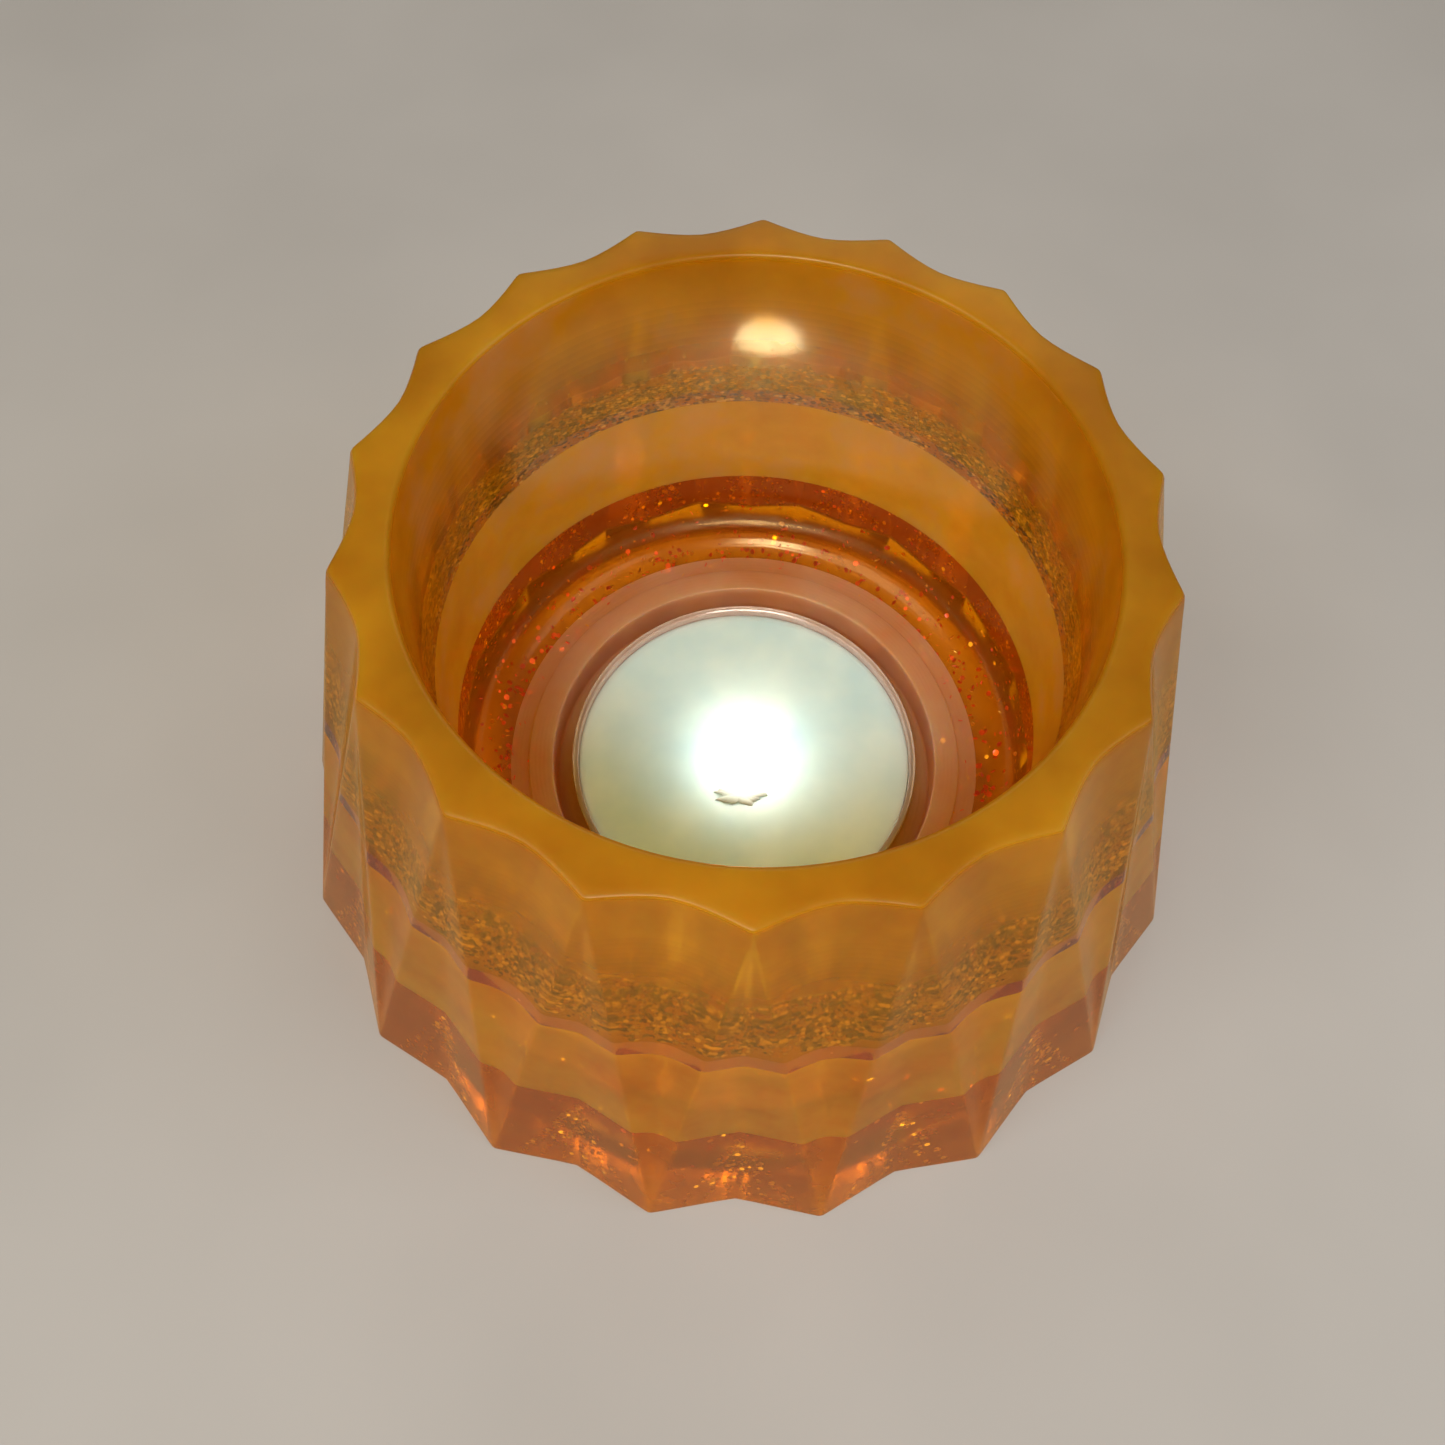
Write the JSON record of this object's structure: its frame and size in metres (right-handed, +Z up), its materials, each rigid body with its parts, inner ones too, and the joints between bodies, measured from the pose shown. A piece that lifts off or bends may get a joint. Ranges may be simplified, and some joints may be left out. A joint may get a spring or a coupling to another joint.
{
  "type": "tealight holder",
  "caption": "Flared star-fluted cast resin cup with a straight bore and a shallow floor seat, holding a lift-out tealight in a clear cup.",
  "frame": {"origin": "centre of the underside, on the surface that the holder stands on", "axes": "+Z up along the bore, -Y towards the viewer, +X to the viewer's right"},
  "size_m": [0.097, 0.0956, 0.05],
  "materials": {
    "glitter_resin": "gloss cast resin, copper red with metal glitter",
    "amber_resin": "gloss cast resin, clear amber",
    "foamed_resin": "resin full of fine trapped bubbles",
    "cloudy_amber_resin": "satin cast resin, slightly cloudy amber",
    "clear_cup_plastic": "clear drawn plastic",
    "candle_wax": "satin wax, molten on top",
    "tab_metal": "stamped sheet",
    "braided_wick": "charred braided cotton"
  },
  "bodies": {
    "holder": {"base_pour": "glitter_resin", "middle_pour": "amber_resin", "grain_ring": "foamed_resin", "top_pour": "cloudy_amber_resin"},
    "tealight": {"tealight_cup": "clear_cup_plastic"},
    "candle": {"wax": "candle_wax", "wick_tab": "tab_metal", "wick": "braided_wick"}
  },
  "joints": [
    {"name": "tealight_lift", "type": "slide", "parent": "holder", "child": "tealight", "axis": [0, 0, 1], "range_m": [0, 0.055]},
    {"name": "candle_lift", "type": "slide", "parent": "tealight", "child": "candle", "axis": [0, 0, 1], "range_m": [0, 0.009]}
  ]
}
